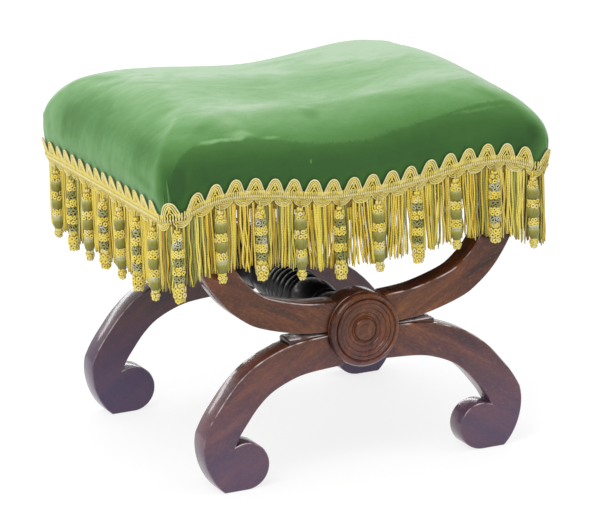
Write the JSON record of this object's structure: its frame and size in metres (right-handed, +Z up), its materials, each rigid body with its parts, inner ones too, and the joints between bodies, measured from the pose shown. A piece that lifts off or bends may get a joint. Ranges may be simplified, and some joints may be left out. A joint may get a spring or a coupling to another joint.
{
  "type": "footstool",
  "caption": "Rectangular footstool with a dished, stuffed velvet seat, scalloped braid and bead fringe, on crossed wooden frames with scroll feet joined by a turned stretcher.",
  "frame": {"origin": "on the floor, under the middle of the seat", "axes": "+X along the seat's long side to the sitter's right, -Y to the front (one crossed frame faces -Y, the other +Y), +Z up"},
  "size_m": [0.4928, 0.4086, 0.435],
  "materials": {
    "mahogany": "french polished, glossy",
    "ebonised_wood": "dark stained, polished",
    "beech": "bare, planed",
    "jute": "coarse woven",
    "black_linen": "plain woven, matt",
    "horsehair": "loose fibre in a calico skin",
    "velvet": "short pile with a pale sheen where it is brushed",
    "gold_braid": "corded braid, slightly lustrous",
    "gold_fringe": "twisted rayon cords, gold with olive and brown"
  },
  "bodies": {
    "root": {"front_hub": "mahogany", "front_boss": "mahogany", "front_arm_left": "mahogany", "front_leg_left": "mahogany", "front_tongue_left": "mahogany", "front_arm_dowel_left": "beech", "front_leg_dowel_left": "beech", "front_rail_dowel_left": "beech", "front_corner_block_left": "beech", "front_arm_right": "mahogany", "front_leg_right": "mahogany", "front_tongue_right": "mahogany", "front_arm_dowel_right": "beech", "front_leg_dowel_right": "beech", "front_rail_dowel_right": "beech", "front_corner_block_right": "beech", "front_rail": "beech", "rear_hub": "mahogany", "rear_boss": "mahogany", "rear_arm_left": "mahogany", "rear_leg_left": "mahogany", "rear_tongue_left": "mahogany", "rear_arm_dowel_left": "beech", "rear_leg_dowel_left": "beech", "rear_rail_dowel_left": "beech", "rear_corner_block_left": "beech", "rear_arm_right": "mahogany", "rear_leg_right": "mahogany", "rear_tongue_right": "mahogany", "rear_arm_dowel_right": "beech", "rear_leg_dowel_right": "beech", "rear_rail_dowel_right": "beech", "rear_corner_block_right": "beech", "rear_rail": "beech", "stretcher": "ebonised_wood", "left_rail": "beech", "right_rail": "beech", "long_web_1": "jute", "long_web_2": "jute", "cross_web_1": "jute", "cross_web_2": "jute", "cross_web_3": "jute", "hessian": "jute", "stuffing": "horsehair", "velvet_cover": "velvet", "dust_cover": "black_linen", "front_braid": "gold_braid", "front_fringe": "gold_fringe", "right_braid": "gold_braid", "right_fringe": "gold_fringe", "rear_braid": "gold_braid", "rear_fringe": "gold_fringe", "left_braid": "gold_braid", "left_fringe": "gold_fringe"}
  },
  "joints": []
}
